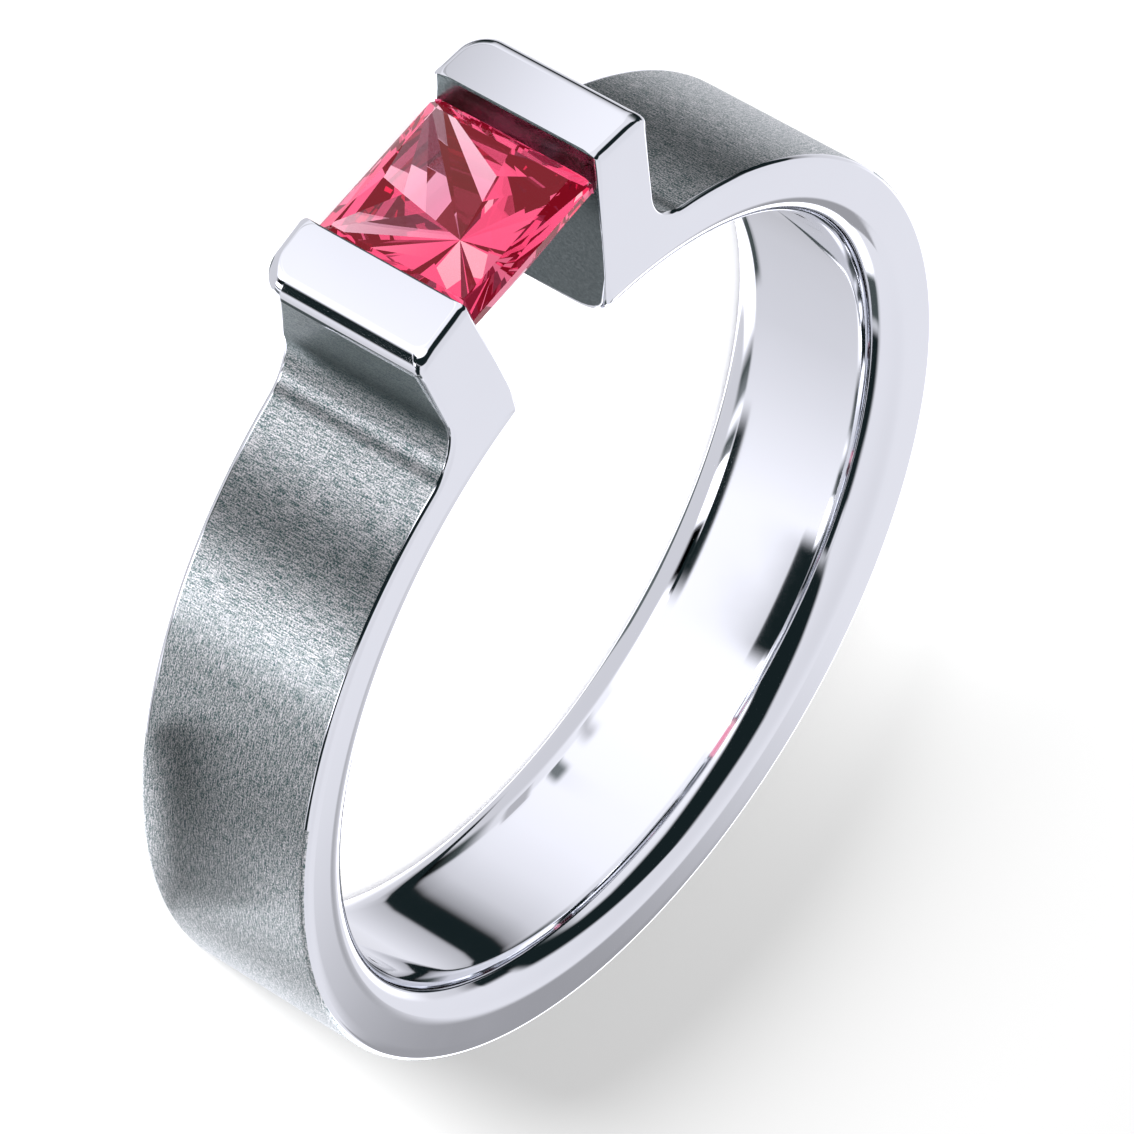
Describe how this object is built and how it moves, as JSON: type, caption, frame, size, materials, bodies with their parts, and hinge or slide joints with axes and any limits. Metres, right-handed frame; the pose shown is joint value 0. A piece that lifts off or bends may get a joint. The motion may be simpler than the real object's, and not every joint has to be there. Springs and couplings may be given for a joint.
{
  "type": "gemstone ring",
  "caption": "Metal finger ring with a square pink stone clamped by its edges between two raised blocks at a gap in the band.",
  "frame": {"origin": "centre of the finger hole, halfway between the two side faces", "axes": "+Z along the finger hole's axis, up as the ring lies on one side face; +Y from the hole's centre to the stone; +X across the gap between the blocks"},
  "size_m": [0.0202, 0.0233, 0.0042],
  "materials": {
    "band_metal": "brushed along the band on the outside, polished on the side faces, block tops and finger hole, satin in the gap",
    "stone_gem": "polished cut facets, transparent pink red"
  },
  "bodies": {
    "root": {"band": "band_metal", "stone": "stone_gem"}
  },
  "joints": []
}
